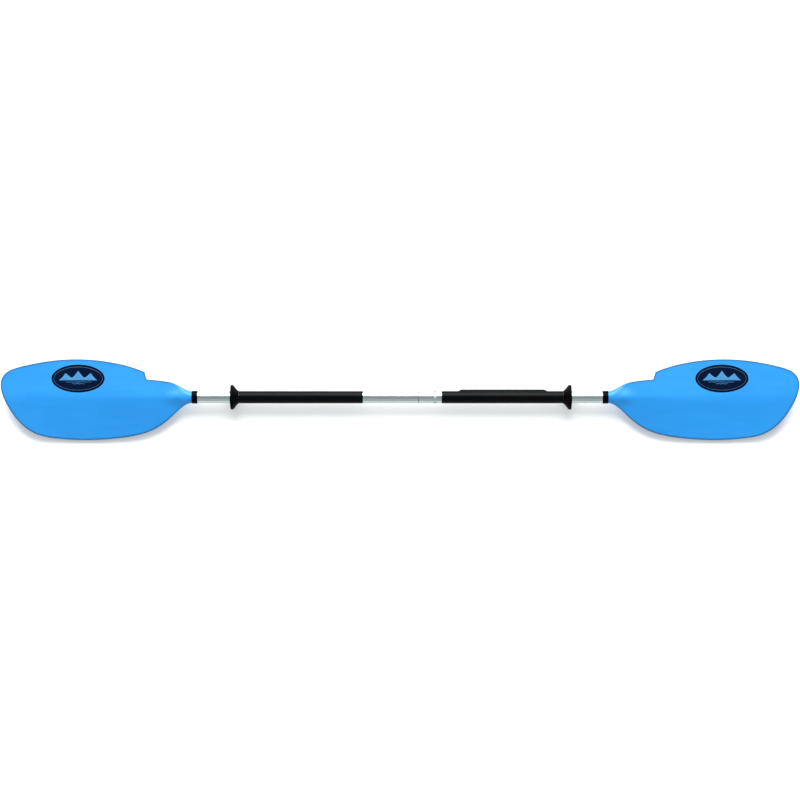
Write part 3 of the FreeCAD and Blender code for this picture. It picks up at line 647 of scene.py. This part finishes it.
def badge_ink():
    """A fine border line and a plain row of waves, standing in for the printed mark."""
    bottom, top = FILM_THICKNESS - INK_SUNK, FILM_THICKNESS + 2 * INK_THICKNESS
    section = [(BORDER - BORDER_LINE, bottom), (BORDER - 0.55, top), (BORDER - 0.05, top), (BORDER, bottom)]
    shapes = [stitched([badge_oval(inset, lift) for inset, lift in section], closed_tube=True)]
    along = np.linspace(-1, 1, 241)
    station = BADGE_CENTRE.x + WAVE_REACH * along
    swell = WAVE_FOOT + WAVE_HEIGHT * (1 - np.abs(np.sin(1.5 * math.pi * along))) ** 0.8
    crest = BADGE_CENTRE.y + WAVE_BASE + swell * np.sqrt(np.clip(1 - along ** 2, 0.002, 1))
    foot = np.full(len(along), BADGE_CENTRE.y + WAVE_BASE)
    shapes.append(raised_band(np.column_stack([station, foot]), np.column_stack([station, crest])))
    for centre, half, base in RIPPLES:
        along = np.linspace(-1, 1, 48)
        station = BADGE_CENTRE.x + centre + half * along
        middle = BADGE_CENTRE.y + base + RIPPLE_SWAY * np.sin(along * 9)
        width = RIPPLE_HALF_WIDTH * np.sqrt(np.clip(1 - along ** 2, 0.02, 1))
        shapes.append(raised_band(np.column_stack([station, middle - width]),
                                  np.column_stack([station, middle + width])))
    return join(shapes)


def add_badges():
    film, field, ink = oval_film(), oval_field(), badge_ink()
    for name, side in SIDES:
        half = name + "_half"
        plate = new_object(name + "_badge_film", *mirrored(*film, side), MATERIALS["badge_film"], half,
                           "badge_film")
        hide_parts(name + "_badge")
        new_object(name + "_badge_field", *mirrored(*field, side), BADGE_FIELD, half, "badge_film")
        new_object(name + "_badge_waves", *mirrored(*ink, side), BADGE_INK, half, "badge_film")


# --- shaft fittings -------------------------------------------------------------------------------

BORE = TUBE_RADIUS + 0.04
HUB = 18.3  # outside radius of the drip rings' hubs
SLEEVE_WALL = 0.6
# The grip ridge's crest circle: its radius, its height, and its height where the ridge has faded out.
STRIP_RADIUS, STRIP_HEIGHT, RIDGE_END_HEIGHT = 6.0, 14.8, 10.4
FADE_OUTSIDE, FADE_INSIDE = 4, 7.5  # the ridge fades over this much outside and inside the strip's ends
RIPPLE_HEIGHT = 0.035  # unevenness of the shrunk sleeves
SLEEVE_SEGMENTS = 160
STEM_RADIUS, DOME_ROUND, CROWN_RISE = 3.75, 1.5, 0.12


def add_collars():
    outline = rounded_outline([
        (COLLAR_LOW, BORE, 0.2), (COLLAR_LOW, COLLAR_RADIUS, 1.0), (COLLAR_HIGH, COLLAR_RADIUS, 1.0),
        (COLLAR_HIGH, BORE, 0.2)])
    for name, side in SIDES:
        collar = new_object(name + "_blade_band", *lathed(outline, 128, side=side),
                            MATERIALS["collar_plastic"], name + "_half", "collar_plastic")
        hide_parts(name + "_blade_collar")


def add_drip_rings():
    """Cup rings: a hub that grips the tube, a thin flared wall and a thick rounded lip."""
    for name, side in SIDES:
        low, high = sorted(abs(end) for end in node_reach(name + "_drip_ring", 0))
        rim = node_reach(name + "_drip_ring", 1)[1]
        outline = rounded_outline([
            (low, BORE, 0.3), (low, HUB - 0.2, 0.7), (low + 2.2, HUB + 0.1, 2.5),
            (low + 13.2, rim - 0.9, 2.2), (low + 15.4, rim, 1.6), (low + 19.8, rim, 1.6),
            (low + 21.5, rim - 1.7, 1.2), (low + 21.5, 29.0, 0.9), (low + 14.0, 28.4, 2.6),
            (low + 5.6, HUB + 0.4, 2.0), (low + 18.6, HUB - 0.7, 0.5), (low + 19.3, HUB, 0.5),
            (high, HUB - 0.1, 1.0), (high, BORE, 0.3)])
        ring = new_object(name + "_drip_cup", *lathed(outline, 160, side=side), MATERIALS["black_rubber"],
                          name + "_drip_ring", "black_rubber")
        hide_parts(name + "_drip_ring")


def hull_radius(angle, height, core, crest):
    """Polar radius of the band pulled round the shaft and a crest circle at a height in +Y."""
    if height + crest <= core + 1e-6:
        return core
    turn = math.acos(min(1.0, (core - crest) / height))
    top = math.atan2(crest * math.sin(turn), height + crest * math.cos(turn))
    bearing = abs(math.remainder(angle, 2 * math.pi))
    if bearing >= turn:
        return core
    if bearing >= top:
        return core / math.cos(bearing - turn)
    return height * math.cos(bearing) + math.sqrt(crest ** 2 - (height * math.sin(bearing)) ** 2)


def sleeve_stations(low, high, breaks):
    """Stations along a sleeve: close together at its ends and where its section changes."""
    fine = [0.0, 0.04, 0.14, 0.3, 0.5, 0.9, 1.6, 3.0]
    stations = [low + step for step in fine] + [high - step for step in fine]
    stations += list(np.linspace(low + 6, high - 6, int((high - low) / 6)))
    for start, end in breaks:
        stations += list(np.linspace(start, end, 25))
    stations.sort()
    return [here for here, there in zip(stations, stations[1:] + [math.inf]) if there - here > 1e-3]


def sleeve_mesh(low, high, ridge):
    """A shrink sleeve as a closed skin. ridge is None or the four stations of its raised part."""
    angles = [2 * math.pi * k / SLEEVE_SEGMENTS for k in range(SLEEVE_SEGMENTS)]
    breaks = [ridge[:2], ridge[2:]] if ridge else []
    outside = []
    for station in sleeve_stations(low, high, breaks):
        rounding = min(1.0, max(0.0, min(station - low, high - station) / SLEEVE_WALL))
        skin = SLEEVE_WALL * math.sqrt(1 - (1 - rounding) ** 2)
        height = 0.0
        if ridge:
            rise = float(smoothstep(*ridge[:2], station) * (1 - smoothstep(*ridge[2:], station)))
            height = RIDGE_END_HEIGHT + (STRIP_HEIGHT - RIDGE_END_HEIGHT) * rise
        ring = []
        for angle in angles:
            radius = hull_radius(angle, height, BORE + SLEEVE_WALL, STRIP_RADIUS) - SLEEVE_WALL + skin
            ripple = math.sin(station / 9.0 + 2 * math.sin(angle)) * math.sin(3 * angle + station / 41.0)
            radius += RIPPLE_HEIGHT * ripple * rounding
            ring.append((station, radius * math.cos(angle), radius * math.sin(angle)))
        outside.append(ring)
    inside = [[(station, BORE * math.cos(angle), BORE * math.sin(angle)) for angle in angles]
              for station in (high, low)]
    return stitched(outside + inside, closed_tube=True)


def add_sleeves():
    """The plain sleeve on the left and the ridged one on the right."""
    left_low = -node_reach("left_grip_sleeve", 0)[1]
    left_high = -node_reach("left_grip_sleeve", 0)[0]
    plain = new_object("left_grip_skin", *mirrored(*sleeve_mesh(left_low, left_high, None), -1),
                       MATERIALS["grip_sleeve"], "left_half", "grip_sleeve")
    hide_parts("left_grip_sleeve")
    right_low, right_high = node_reach("right_grip_sleeve", 0)
    strip_low, strip_high = node_reach("right_index_strip", 0)
    ridge = (strip_low - FADE_OUTSIDE, strip_low + FADE_INSIDE, strip_high - FADE_INSIDE,
             strip_high + FADE_OUTSIDE)
    raised = new_object("right_grip_skin", *sleeve_mesh(right_low, right_high, ridge),
                        MATERIALS["grip_sleeve"], "right_half", "grip_sleeve")
    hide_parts("right_grip_sleeve")


def add_button():
    """The snap button: a polished dome on a stem, with the flange that holds it in."""
    low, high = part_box("snap_button")
    centre = (low + high) / 2 / MM
    flange = (high.x - low.x) / 2 / MM
    flat = STEM_RADIUS - DOME_ROUND
    dome = [(BUTTON_TOP - DOME_ROUND + DOME_ROUND * math.sin(a), flat + DOME_ROUND * math.cos(a))
            for a in np.linspace(0, math.pi / 2, 9)]
    crown = [(BUTTON_TOP + CROWN_RISE * (1 - share ** 2), flat * share) for share in (0.75, 0.5, 0.25, 0.01)]
    outline = [
        (BUTTON_LOW, 0.01), (BUTTON_LOW, flange - 0.1), (BUTTON_LOW + 0.1, flange),
        (BUTTON_LOW + 0.5, flange), (BUTTON_LOW + 0.6, flange - 0.1), (BUTTON_LOW + 0.6, STEM_RADIUS)]
    outline += dome + crown
    points, faces = lathed(outline, 64, axis="Z")
    points = [(x + centre.x, y + centre.y, z - CROWN_RISE) for x, y, z in points]
    button = new_object("snap_button_dome", points, faces, MATERIALS["steel"], "snap_button", "steel")
    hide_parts("snap_button")


# --- floor, light and camera ----------------------------------------------------------------------

FLOOR_REACH, FLOOR_GAP = 30.0, 0.0005
# Name, direction towards the light, spread in degrees, strength.
LIGHTS = [
    ("key_light", (0.0, 0.86, 0.51), 54, 6.5), ("fill_light", (0.0, -0.88, 0.475), 60, 0.2),
    ("left_light", (-0.9, 0.0, 0.43), 60, 0.6), ("right_light", (0.9, 0.0, 0.43), 60, 0.6)]
SKY_COLOUR, SKY_STRENGTH = (0.95, 1.0, 1.0, 1.0), 0.6
LENS, SENSOR = 200.0, 36.0
PICTURE_MARGIN = 1.0026  # width of the picture over the paddle's length
CAMERA_Y = -0.0075  # puts the paddle's axis a little over the picture's middle


def add_stage():
    """A wide white floor just under the paddle."""
    floor = bpy.data.meshes.new("studio_floor")
    drop = cad_box[0].z - FLOOR_GAP
    corners = [(-1, -1), (1, -1), (1, 1), (-1, 1)]
    floor.from_pydata([(x * FLOOR_REACH, y * FLOOR_REACH, drop) for x, y in corners], [], [(0, 1, 2, 3)])
    shader = Shader("studio_floor", (0.93, 0.93, 0.93), 0.9, Specular_IOR_Level=0.1)
    shader.colour(shader.ramp(shader.noise(EVEN, 0.6),
                              [(0.3, (0.925, 0.925, 0.93)), (0.7, (0.935, 0.935, 0.935))]))
    floor.materials.append(shader.material)
    plane = bpy.data.objects.new("studio_floor", floor)
    bpy.context.scene.collection.objects.link(plane)
    plane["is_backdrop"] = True


def add_light(name, towards, spread, strength):
    """A wide soft light far away in a direction, as wide across as the spread in degrees."""
    lamp = bpy.data.lights.new(name, "SUN")
    lamp.angle = math.radians(spread)
    lamp.energy = strength
    thing = bpy.data.objects.new(name, lamp)
    thing.rotation_euler = (-Vector(towards)).to_track_quat("-Z", "Y").to_euler()
    bpy.context.scene.collection.objects.link(thing)


def add_studio():
    """An even pale sky and four wide soft lights."""
    world = bpy.data.worlds.new("studio")
    bpy.context.scene.world = world
    world.use_nodes = True
    sky = world.node_tree.nodes["Background"]
    sky.inputs["Color"].default_value = SKY_COLOUR
    sky.inputs["Strength"].default_value = SKY_STRENGTH
    for light in LIGHTS:
        add_light(*light)


def add_camera():
    """Straight above the faces of the blades, with the paddle across the whole picture."""
    data = bpy.data.cameras.new("camera")
    data.lens, data.sensor_width = LENS, SENSOR
    camera = bpy.data.objects.new("camera", data)
    low, high = cad_box
    distance = (high.x - low.x) * PICTURE_MARGIN * LENS / SENSOR
    camera.location = ((low.x + high.x) / 2, CAMERA_Y, distance)
    bpy.context.scene.collection.objects.link(camera)
    bpy.context.scene.camera = camera
    bpy.context.scene.view_settings.view_transform = "Standard"


add_camera()
add_stage()
add_studio()
add_blades()
add_badges()
add_collars()
add_drip_rings()
add_sleeves()
add_button()

[list(corner) for corner in (*cad_box, *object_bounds())]
